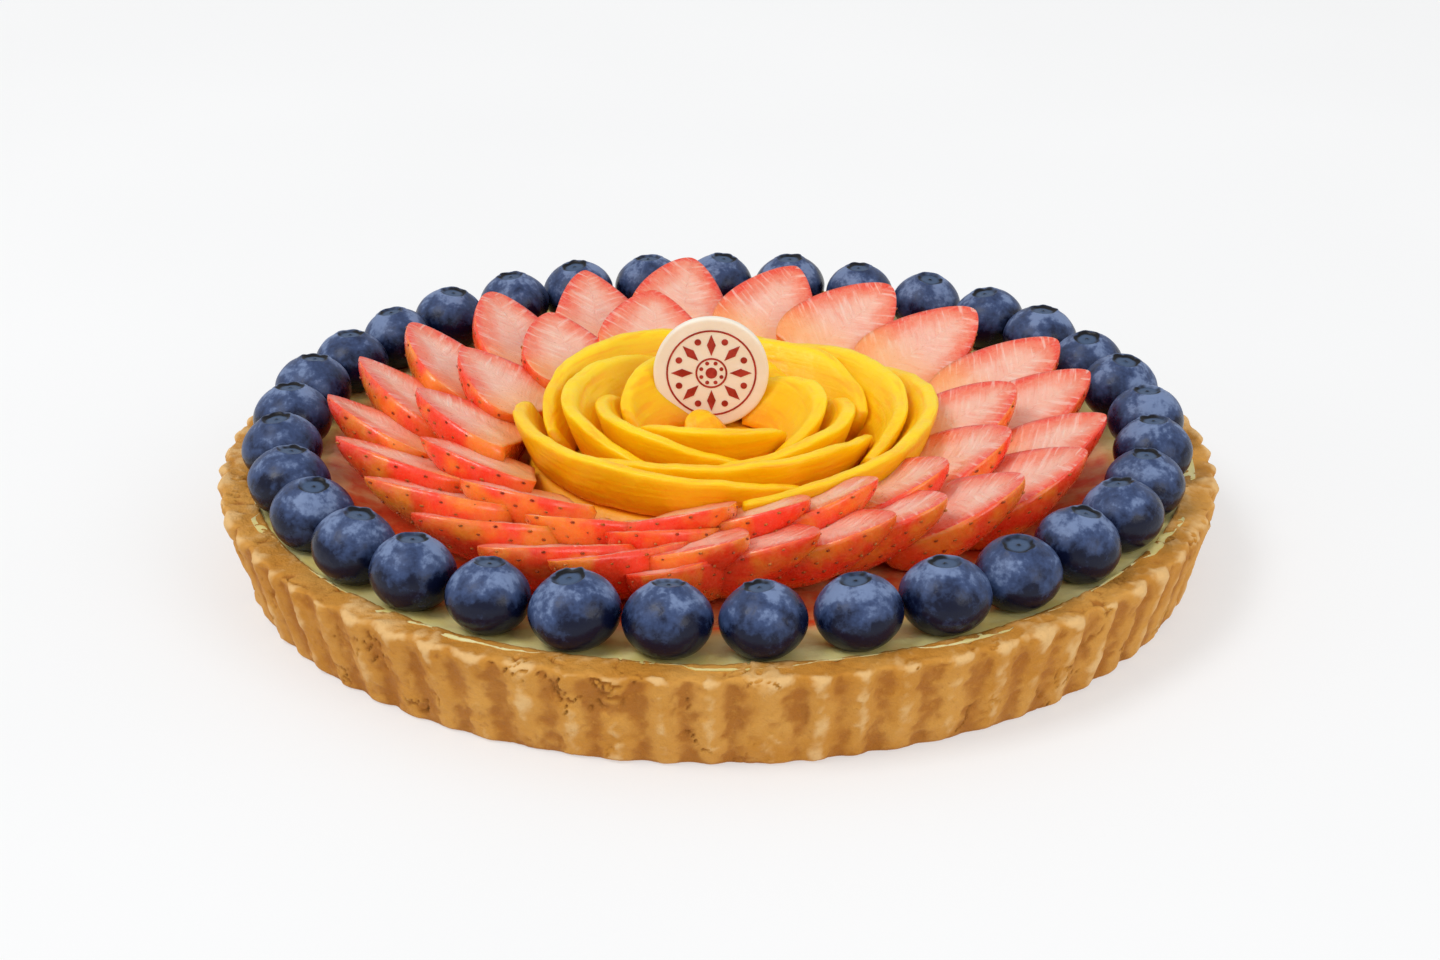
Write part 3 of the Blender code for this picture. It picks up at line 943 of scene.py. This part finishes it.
# Azimuth, swirl in degrees, and radius and height of the outer tips
RING_COURSE = (
    (0.0, 36.0, 76.5 * MM, 34.8 * MM),
    (40.0, 32.0, 74.5 * MM, 35.2 * MM),
    (68.0, 18.0, 84.0 * MM, 34.8 * MM),
    (110.0, 2.0, 85.0 * MM, 35.0 * MM),
    (142.0, -14.0, 80.5 * MM, 35.0 * MM),
    (188.0, -10.0, 86.0 * MM, 36.6 * MM),
    (230.0, -8.0, 84.0 * MM, 35.2 * MM),
    (275.0, -16.0, 85.0 * MM, 34.8 * MM),
    (300.0, -20.0, 85.5 * MM, 33.8 * MM),
    (330.0, -18.0, 87.0 * MM, 31.5 * MM),
    (352.0, -8.0, 85.0 * MM, 31.5 * MM),
    (360.0, 36.0, 76.5 * MM, 34.8 * MM),
)


def ring_course(azimuth: float) -> list:
    """Swirl, tip radius and tip height at an azimuth.

    Args:
        azimuth: Degrees from the front.

    Returns:
        The three values, read off between the rows of RING_COURSE.
    """
    azimuth %= 360.0
    for low, high in zip(RING_COURSE, RING_COURSE[1:]):
        if azimuth <= high[0]:
            share = (azimuth - low[0]) / (high[0] - low[0])
            return [a + (b - a) * share for a, b in zip(low[1:], high[1:])]
    return list(RING_COURSE[0][1:])


@dataclass(frozen=True)
class HalfPlace:
    """Where one strawberry half lies."""

    name: str
    node: str
    matrix: Matrix
    size: tuple
    seed: int


@dataclass(frozen=True)
class StrawberryRing:
    """One pinwheel ring of halved strawberries.

    size is length, half width and depth. ease is how many degrees flatter the front halves lie.
    hollow is how far the middle of a cut face sinks in, and belly how full the round side is.
    """

    name: str
    count: int
    step: float
    first: float
    inset: float
    forward: float
    tilt: float
    roll: float
    size: tuple
    seed: int
    ease: float
    crowding: float = 12.8
    floor_height: float = 16.3 * MM
    fan: int = 4
    bluntness: tuple = (0.50, 0.66)
    most_skew: float = 0.10
    belly: float = 0.85
    hollow: float = 0.55 * MM
    seed_rows: int = 9
    seeds_across: int = 9
    seed_size: tuple = (0.56, 0.30, 0.26)
    seed_sink: float = 0.12 * MM
    pit_depth: float = 0.22 * MM
    pit_radius: float = 0.65 * MM
    along: int = 44
    across: int = 25
    under: int = 29

    def places(self) -> list:
        """Draws the place of every half."""
        draw = random.Random(self.seed)
        found = []
        for i in range(self.count):
            azimuth = self.first + self.step * i
            azimuth += draw.uniform(-1.0, 1.0) - self.crowding * math.sin(math.radians(azimuth))
            swirl, tip_radius, tip_height = ring_course(azimuth)
            scale = draw.uniform(0.95, 1.04)
            tip = outward(azimuth) * (tip_radius - self.inset + draw.uniform(-1.0, 1.0) * MM)
            tip.y -= self.forward
            tip.z = tip_height + draw.uniform(-0.4, 0.4) * MM
            tilt = self.tilt + draw.uniform(-1.0, 1.0) - self.ease * max(0.0, math.cos(math.radians(azimuth)))
            roll = self.roll + draw.uniform(-1.0, 1.0)
            swirl += draw.uniform(-2.0, 2.0)
            turn = Matrix.Rotation(math.radians(azimuth - 90.0), 4, "Z")
            rise = Matrix.Rotation(math.radians(-tilt), 4, "Y")
            lean = Matrix.Rotation(math.radians(roll), 4, "X")
            spin = Matrix.Rotation(math.radians(swirl), 4, "Z")
            matrix = Matrix.Translation(tip) @ turn @ rise @ lean @ spin
            size = tuple(s * scale for s in self.size)
            node = f"{self.name}_{i // self.fan + 1}"
            found.append(HalfPlace(f"{self.name}_half_{i + 1:02d}", node, matrix, size, self.seed * 100 + i))
        return found

    def shape(self, place: HalfPlace) -> tuple:
        """Points of one half in its own frame: the tip at x = 0 and the cut face in the plane z = 0.

        Args:
            place: The half.

        Returns:
            Rings of points, the share of each from the base to the tip, how deep inside the cut
            face it lies, and whether it is on the cut face.
        """
        length, half_width, depth = place.size
        t = np.sin(math.pi / 2 * np.linspace(0.0, 0.997, self.along))
        reach, bend = self.outline(t, place)
        x = (t - 1) * length
        side = np.linspace(1.0, -1.0, self.across)
        turn = math.pi * np.arange(1, self.under + 1) / (self.under + 1)
        y_row = np.concatenate([side, -np.cos(turn)])
        z_row = np.concatenate([np.zeros(self.across), -np.sin(turn) ** self.belly])
        rings = np.zeros((self.along, len(y_row), 3))
        rings[:, :, 0] = x[:, None]
        rings[:, :, 1] = y_row[None, :] * reach[:, None] * half_width + bend[:, None]
        rings[:, :, 2] = z_row[None, :] * reach[:, None] * depth
        cut = np.concatenate([np.ones(self.across), np.zeros(self.under)])
        inside = np.concatenate([1 - np.abs(side), np.zeros(self.under)])
        edge = np.minimum(inside[None, :] * reach[:, None] * 1.3, (1 - t)[:, None] * 3.0)
        return rings, np.repeat(t[:, None], len(y_row), 1), edge, np.repeat(cut[None, :], self.along, 0)

    def form(self, place: HalfPlace) -> tuple:
        """How blunt and how skew one half is."""
        draw = np.random.default_rng(place.seed)
        return draw.uniform(*self.bluntness), draw.uniform(-self.most_skew, self.most_skew)

    def outline(self, t: np.ndarray, place: HalfPlace) -> tuple:
        """Outline of one half.

        Args:
            t: Shares of its length, from the base to the tip.
            place: The half.

        Returns:
            Its half width over the greatest one, and how far its middle line lies beside its axis.
        """
        blunt, skew = self.form(place)
        reach = np.sin(math.pi * (0.09 + 0.91 * t) ** 0.62) ** blunt
        return reach, skew * place.size[1] * np.sin(math.pi * t)

    def seed_spots(self, place: HalfPlace) -> np.ndarray:
        """Places of the seeds on the skin.

        Args:
            place: The half.

        Returns:
            Rows of place and outward direction, in the half's own frame.
        """
        length, half_width, depth = place.size
        draw = np.random.default_rng(place.seed + 7)
        spots = []
        for row in range(self.seed_rows):
            t = 0.10 + 0.86 * row / (self.seed_rows - 1)
            reach, bend = self.outline(t, place)
            count = max(2, round(self.seeds_across * reach))
            for k in range(count):
                turn = math.pi * (k + 0.5 + (0.25 if row % 2 else -0.25) + draw.uniform(-0.12, 0.12)) / count
                here = min(0.985, t + draw.uniform(-0.012, 0.012))
                out = np.array([0.25 / half_width, math.cos(turn) / half_width, -math.sin(turn) / depth])
                out /= np.linalg.norm(out)
                beside = math.cos(turn) * reach * half_width + bend
                spot = [(here - 1) * length, beside, -math.sin(turn) ** self.belly * reach * depth]
                spots.append([*spot, *out])
        return np.array(spots)

    def half_mesh(self, place: HalfPlace, skin: bpy.types.Material,
                  flesh: bpy.types.Material) -> bpy.types.Mesh:
        """Makes one half.

        Args:
            place: Where it lies.
            skin: Material of the skin.
            flesh: Material of the cut face.

        Returns:
            Its mesh, in place.
        """
        rings, along, depth, cut = self.shape(place)
        flat = rings.reshape(-1, 3)
        beside = np.abs(flat[:, 1])
        grain = np.stack([
            (flat[:, 0] - 0.55 * beside) / (1.1 * MM), beside / (7 * MM),
            np.sign(flat[:, 1]) + place.seed], axis=1)
        field = NoiseField(place.seed)
        is_cut = cut.reshape(-1)
        inside = depth.reshape(-1)
        flat[:, 2] -= is_cut * self.hollow * ramp(inside, 0.1, 0.9)
        flat[:, 2] += is_cut * ramp(inside, 0.0, 0.2) * 0.22 * MM * field.layers(flat, 5 * MM, 3)
        flat[:, :] += (1 - is_cut)[:, None] * flat * 0.04 * field.layers(flat, 9 * MM, 2)[:, None]
        for x, y, z, dx, dy, dz in self.seed_spots(place):
            away = ((flat - (x, y, z)) ** 2).sum(axis=1)
            pull = self.pit_depth * np.exp(-away / self.pit_radius ** 2) * (1 - is_cut)
            flat -= pull[:, None] * np.array([dx, dy, dz])
        matrix = np.array(place.matrix)
        placed = flat @ matrix[:3, :3].T + matrix[:3, 3]
        placed[:, 2] = np.maximum(placed[:, 2], self.floor_height)
        mesh = tube_mesh(place.name, placed.reshape(rings.shape))
        add_values(mesh, "along", along)
        add_values(mesh, "depth", depth)
        add_grain(mesh, grain)
        mesh.materials.append(skin)
        mesh.materials.append(flesh)
        columns = rings.shape[1]
        face_index = np.arange(len(mesh.polygons))
        column = face_index % columns
        on_cut = (column < self.across - 1) & (face_index < (self.along - 1) * columns)
        mesh.polygons.foreach_set("material_index", on_cut.astype(np.int32))
        return mesh

    def seeds_mesh(self, places: list, name: str) -> bpy.types.Mesh:
        """Makes the seeds of several halves.

        Args:
            places: The halves.
            name: Name of the mesh.

        Returns:
            One mesh, in place.
        """
        sides, levels = 6, 3
        unit = []
        for level in range(levels):
            polar = math.pi * (0.16 + 0.34 * level)
            for k in range(sides):
                turn = TAU * k / sides
                reach = math.sin(polar)
                unit.append((reach * math.cos(turn), reach * math.sin(turn), math.cos(polar)))
        unit = np.array(unit) * np.array(self.seed_size) * MM
        faces = grid_faces(levels, sides)
        faces.append(list(range(sides)))
        faces.append([(levels - 1) * sides + i for i in range(sides)][::-1])
        verts, all_faces = [], []
        for place in places:
            matrix = np.array(place.matrix)
            for spot in self.seed_spots(place):
                out = spot[3:]
                lengthwise = np.array([1.0, 0.0, 0.0]) - out * out[0]
                lengthwise /= np.linalg.norm(lengthwise)
                beside = np.cross(out, lengthwise)
                local = spot[:3] - self.seed_sink * out + unit @ np.stack([lengthwise, beside, out])
                placed = local @ matrix[:3, :3].T + matrix[:3, 3]
                if placed[:, 2].min() < self.floor_height:
                    continue
                start = len(verts)
                verts.extend(placed.tolist())
                all_faces.extend([start + i for i in face] for face in faces)
        return new_mesh(name, verts, all_faces)

    def build(self, skin: bpy.types.Material, flesh: bpy.types.Material, seeds: bpy.types.Material) -> None:
        """Makes every half and its seeds.

        Args:
            skin: Material of the skin.
            flesh: Material of the cut faces.
            seeds: Material of the seeds.
        """
        places = self.places()
        for place in places:
            add_piece(self.half_mesh(place, skin, flesh), [place.node])
        for node in dict.fromkeys(place.node for place in places):
            group = [place for place in places if place.node == node]
            mesh = self.seeds_mesh(group, f"{node}_seeds")
            mesh.materials.append(seeds)
            add_piece(mesh, [node])


# Mango rose


@dataclass(frozen=True)
class MangoSlice:
    """One curved slice: where it starts, how far it goes back, and its radius at the custard."""

    name: str
    start: float
    span: float
    radius: float
    flare: float
    top: float
    taper: float
    seed: int


@dataclass(frozen=True)
class MangoRose:
    """Slices wound into a rose.

    foot and spread are how much thicker a slice is at the custard, inside and outside. corner_across
    and corner_up are powers that square its section: the smaller, the squarer.
    """

    centre: tuple = (1.0 * MM, 0.6 * MM)
    slices: int = 12
    outer_radius: float = 40.0 * MM
    step_in: float = 2.5 * MM
    start_azimuth: float = 132.0
    turn: float = 105.0
    span: float = 125.0
    flare: float = 3.0 * MM
    top: float = 34.0 * MM
    heart_radius: float = 5.5 * MM
    heart_span: float = 110.0
    heart_azimuths: tuple = (60.0, -80.0)
    heart_top: float = 26.6 * MM
    taper: float = 0.36
    heart_taper: float = 1.1
    thickness: float = 4.4 * MM
    foot: float = 3.6 * MM
    spread: float = 0.8 * MM
    lean: float = 24.0
    lean_height: float = 20.8 * MM
    rise: float = 1.3 * MM
    bottom: float = 21.1 * MM
    corner_across: float = 0.55
    corner_up: float = 0.34
    sections: int = 90
    around: int = 26

    def places(self) -> list:
        """Draws every slice."""
        draw = random.Random(8)
        found = []
        for i in range(self.slices):
            radius = self.outer_radius - self.step_in * i
            start = self.start_azimuth - self.turn * i + draw.uniform(-3.0, 3.0)
            top = self.top + draw.uniform(-0.6, 0.6) * MM
            name = f"mango_slice_{i + 1:02d}"
            found.append(MangoSlice(name, start, self.span, radius, self.flare, top, self.taper, i))
        for i, start in enumerate(self.heart_azimuths):
            name = f"mango_slice_{self.slices + i + 1:02d}"
            found.append(MangoSlice(
                name, start, self.heart_span, self.heart_radius, 0.0, self.heart_top,
                self.heart_taper, self.slices + i))
        return found

    def slice_mesh(self, piece: MangoSlice) -> bpy.types.Mesh:
        """Makes one slice.

        Args:
            piece: Its place and size.

        Returns:
            Its mesh.
        """
        half = self.thickness / 2
        lean = math.tan(math.radians(self.lean))
        turn, _ = circle(self.around)
        across = np.sign(np.cos(turn)) * np.abs(np.cos(turn)) ** self.corner_across
        up = 0.5 + 0.5 * np.sign(np.sin(turn)) * np.abs(np.sin(turn)) ** self.corner_up
        narrow = 1 - 0.12 * ramp(up, 0.6, 1.0)
        s = np.linspace(0.0, 1.0, self.sections)
        swell = np.sin(math.pi * (0.07 + 0.86 * s))
        field = NoiseField(60 + piece.seed)
        azimuth = np.radians(piece.start - piece.span * s)
        line = np.stack([np.sin(azimuth), -np.cos(azimuth), np.zeros_like(s)], axis=1)
        wander = 0.55 * MM * field.layers(line * piece.radius, 16 * MM, 2)
        crest = 0.55 * MM * field.layers(line * piece.radius + 9.0, 11 * MM, 3)
        height = (piece.top - self.bottom - self.rise * np.cos(azimuth)) * swell**piece.taper + crest
        level = self.bottom + up[None, :] * height[:, None]
        thin = 0.60 + 0.40 * np.sin(math.pi * (0.03 + 0.94 * s)) ** 0.5
        radius = piece.radius + piece.flare * s**2 + wander
        reach = radius[:, None] + lean * (level - self.lean_height)
        reach = reach + (across * narrow)[None, :] * half * thin[:, None]
        low = 1 - ramp(up, 0.0, 0.85)
        reach -= self.foot * swell[:, None] * (np.clip(-across, 0.0, 1.0) * low)[None, :]
        reach += self.spread * swell[:, None] * (np.clip(across, 0.0, 1.0) * low)[None, :]
        rings = np.zeros((self.sections, self.around, 3))
        rings[:, :, 0] = self.centre[0] + reach * line[:, 0:1]
        rings[:, :, 1] = self.centre[1] + reach * line[:, 1:2]
        rings[:, :, 2] = level
        flat = rings.reshape(-1, 3)
        flat += 0.10 * MM * np.stack([field.layers(flat + 3.0 * k, 3 * MM, 2) for k in range(3)], axis=1)
        mesh = tube_mesh(piece.name.replace("slice", "petal"), rings)
        # up sets the painted shade low on each slice and the painted highlight along its top.
        add_values(mesh, "up", (level - self.bottom) / (self.top - self.bottom))
        length = np.radians(piece.span) * piece.radius * s
        grain = np.stack(np.broadcast_arrays(
            length[:, None] / (14 * MM), level / (1.3 * MM), across[None, :] + piece.seed), axis=-1)
        add_grain(mesh, grain)
        return mesh

    def build(self, finish: MangoFinish) -> None:
        """Makes every slice.

        Args:
            finish: Their finish.
        """
        flesh = finish.build()
        for piece in self.places():
            mesh = self.slice_mesh(piece)
            mesh.materials.append(flesh)
            add_piece(mesh, [piece.name])


# Disc


class PrintPart(Enum):
    """Forms that the print is made of."""

    RING = "ring"
    DOT = "dot"
    DIAMOND = "diamond"


@dataclass(frozen=True)
class ChocolateDisc:
    """An upright disc with a plain print of diamonds, dots and rings."""

    radius: float = 13.0 * MM
    thickness: float = 2.2 * MM
    centre: tuple = (-1.5 * MM, 14.0 * MM)
    lean: float = 1.5
    rest_height: float = 21.1 * MM
    edge: float = 0.6 * MM
    edge_rows: int = 8
    around: int = 128
    print_thickness: float = 0.08 * MM
    print_sink: float = 0.02 * MM
    print_line: float = 0.42 * MM
    print_sides: int = 48
    rays: int = 8

    def matrix(self) -> Matrix:
        """Where the disc stands: its own +Z is its front."""
        lift = self.radius + self.thickness / 2 * math.sin(math.radians(self.lean))
        place = Vector((*self.centre, self.rest_height + lift))
        return Matrix.Translation(place) @ Matrix.Rotation(math.radians(90.0 - self.lean), 4, "X")

    def disc_mesh(self) -> bpy.types.Mesh:
        """Makes the disc, with a rounded edge."""
        half = self.thickness / 2
        edge = self.edge
        face = [(CENTRE, half), (0.5 * self.radius, half), (self.radius - 1.5 * edge, half)]
        rows = [(radius, -height) for radius, height in face]
        for i in range(self.edge_rows + 1):
            turn = math.pi * (i / self.edge_rows - 0.5)
            rows.append((
                self.radius - edge + edge * math.cos(turn),
                math.copysign(half - edge, turn) * (turn != 0) + edge * math.sin(turn)))
        rows += face[::-1]
        _, ring = circle(self.around)
        field = NoiseField(41)
        wobble = 1 + 0.006 * field.layers(ring, 0.5, 2)
        rings = np.zeros((len(rows), self.around, 3))
        for row, (radius, height) in enumerate(rows):
            rings[row, :, :2] = radius * (ring * wobble[:, None])[:, :2]
            rings[row, :, 2] = height
        mesh = tube_mesh("chocolate_disc_body", rings)
        mesh.transform(self.matrix())
        return mesh

    def flat_shape(self, part: PrintPart, size: float, place: tuple, turn: float) -> tuple:
        """Outline points and faces of one form of the print.

        Args:
            part: Which form.
            size: Its radius, or half its length.
            place: Its centre on the disc.
            turn: Its direction in radians.

        Returns:
            Points and faces of a thin closed form.
        """
        if part is PrintPart.DIAMOND:
            outline = [(size, 0.0), (0.0, 0.40 * size), (-size, 0.0), (0.0, -0.40 * size)]
        else:
            turns = [TAU * k / self.print_sides for k in range(self.print_sides)]
            outline = [(size * math.cos(angle), size * math.sin(angle)) for angle in turns]
        inner = []
        if part is PrintPart.RING:
            share = 1 - self.print_line / size
            inner = [(x * share, y * share) for x, y in outline]
        cos, sin = math.cos(turn), math.sin(turn)
        low = self.thickness / 2 - self.print_sink
        high = self.thickness / 2 + self.print_thickness
        count = len(outline)
        rows = [(outline, low), (outline, high)]
        if inner:
            rows += [(inner, high), (inner, low)]
        verts = [
            (place[0] + x * cos - y * sin, place[1] + x * sin + y * cos, level)
            for line, level in rows for x, y in line]
        faces = grid_faces(len(rows), count)
        if inner:
            faces += [[3 * count + k, 3 * count + (k + 1) % count, (k + 1) % count, k] for k in range(count)]
        else:
            faces += [list(range(count))[::-1], list(range(count, 2 * count))]
        return verts, faces

    def print_mesh(self) -> bpy.types.Mesh:
        """Makes the print."""
        forms = [
            (PrintPart.RING, 10.2 * MM, (0.0, 0.0), 0.0),
            (PrintPart.RING, 3.6 * MM, (0.0, 0.0), 0.0),
            (PrintPart.DOT, 1.3 * MM, (0.0, 0.0), 0.0),
        ]
        for k in range(self.rays):
            turn = TAU * k / self.rays
            here = (6.6 * MM * math.cos(turn), 6.6 * MM * math.sin(turn))
            forms.append((PrintPart.DIAMOND, 2.5 * MM, here, turn))
            between = turn + TAU / (2 * self.rays)
            for size, reach in ((0.75 * MM, 7.9 * MM), (0.45 * MM, 2.45 * MM)):
                here = (reach * math.cos(between), reach * math.sin(between))
                forms.append((PrintPart.DOT, size, here, 0.0))
        verts, faces = [], []
        for form in forms:
            more_verts, more_faces = self.flat_shape(*form)
            start = len(verts)
            verts.extend(more_verts)
            faces.extend([start + i for i in face] for face in more_faces)
        mesh = new_mesh("chocolate_disc_print", verts, faces, smooth=False)
        mesh.transform(self.matrix())
        return mesh

    def build(self, body: ChocolateFinish, ink: PrintFinish) -> None:
        """Makes the disc and its print.

        Args:
            body: Finish of the disc.
            ink: Finish of the print.
        """
        mesh = self.disc_mesh()
        mesh.materials.append(body.build())
        add_piece(mesh, ["chocolate_disc"])
        mesh = self.print_mesh()
        mesh.materials.append(ink.build())
        add_piece(mesh, ["chocolate_disc"])


# Studio


@dataclass(frozen=True)
class Studio:
    """Floor, light and camera."""

    eye: tuple = (0.443 * MM, -529.55 * MM, 245.856 * MM)
    pitch: float = 23.689
    lens: float = 64.61
    sensor: float = 36.0
    sky: float = 0.68
    key: float = 26.0
    key_place: tuple = (-1.3, -0.7, 2.2)
    key_size: float = 1.0
    fill: float = 12.0
    fill_place: tuple = (1.5, -1.6, 1.2)
    fill_size: float = 1.2
    floor_size: float = 4.0
    floor_height: float = -0.05 * MM

    def build_floor(self, finish: TableFinish) -> None:
        """Makes the floor.

        Args:
            finish: Its finish.
        """
        size = self.floor_size
        corners = [(-size, -size, 0), (size, -size, 0), (size, size, 0), (-size, size, 0)]
        mesh = new_mesh("floor", corners, [(0, 1, 2, 3)], smooth=False)
        mesh.materials.append(finish.build())
        floor = add_object("floor", mesh)
        floor.location.z = self.floor_height

    def add_light(self, name: str, place: tuple, power: float, size: float) -> None:
        """Adds a soft box that faces the tart.

        Args:
            name: Its name.
            place: Where it hangs.
            power: Watts.
            size: Width in metres.
        """
        light = bpy.data.lights.new(name, "AREA")
        light.energy = power
        light.size = size
        lamp = add_object(name, light)
        lamp.location = place
        lamp.rotation_mode = "QUATERNION"
        lamp.rotation_quaternion = Vector(place).to_track_quat("Z", "Y")

    def build(self) -> None:
        """Makes the floor, light and camera."""
        self.build_floor(TableFinish())
        world = bpy.data.worlds.new("studio")
        world.use_nodes = True
        sky = world.node_tree.nodes["Background"]
        sky.inputs["Color"].default_value = (1.0, 1.0, 1.0, 1.0)
        sky.inputs["Strength"].default_value = self.sky
        bpy.context.scene.world = world
        self.add_light("key", self.key_place, self.key, self.key_size)
        self.add_light("fill", self.fill_place, self.fill, self.fill_size)
        lens = bpy.data.cameras.new("camera")
        lens.lens = self.lens
        lens.sensor_width = self.sensor
        lens.clip_start = 0.01
        camera = add_object("camera", lens)
        camera.location = self.eye
        camera.rotation_euler = (math.radians(90.0 - self.pitch), 0.0, 0.0)
        bpy.context.scene.camera = camera
        bpy.context.scene.view_settings.view_transform = "Standard"


def main() -> None:
    """Builds every piece of the tart and the studio."""
    logging.basicConfig(level=logging.INFO, format="%(message)s")
    Shell().build(CrustFinish())
    Custard().build(CustardFinish())
    BerryRing().build(BerryFinish())
    skin = StrawberrySkinFinish().build()
    flesh = StrawberryFleshFinish().build()
    seeds = SeedFinish().build()
    outer = StrawberryRing(
        "strawberry_outer", count=24, step=15.0, first=4.0, inset=0.0, forward=0.0,
        tilt=25.0, roll=12.0, size=(31.0 * MM, 12.8 * MM, 10.5 * MM), seed=11, ease=8.0)
    inner = StrawberryRing(
        "strawberry_inner", count=14, step=21.3, first=190.0, inset=18.5 * MM, forward=3.0 * MM,
        tilt=25.0, roll=9.0, size=(25.5 * MM, 13.4 * MM, 9.5 * MM), seed=23, ease=3.5)
    outer.build(skin, flesh, seeds)
    inner.build(skin, flesh, seeds)
    MangoRose().build(MangoFinish())
    ChocolateDisc().build(ChocolateFinish(), PrintFinish())
    Studio().build()


if __name__ == "__main__":
    main()
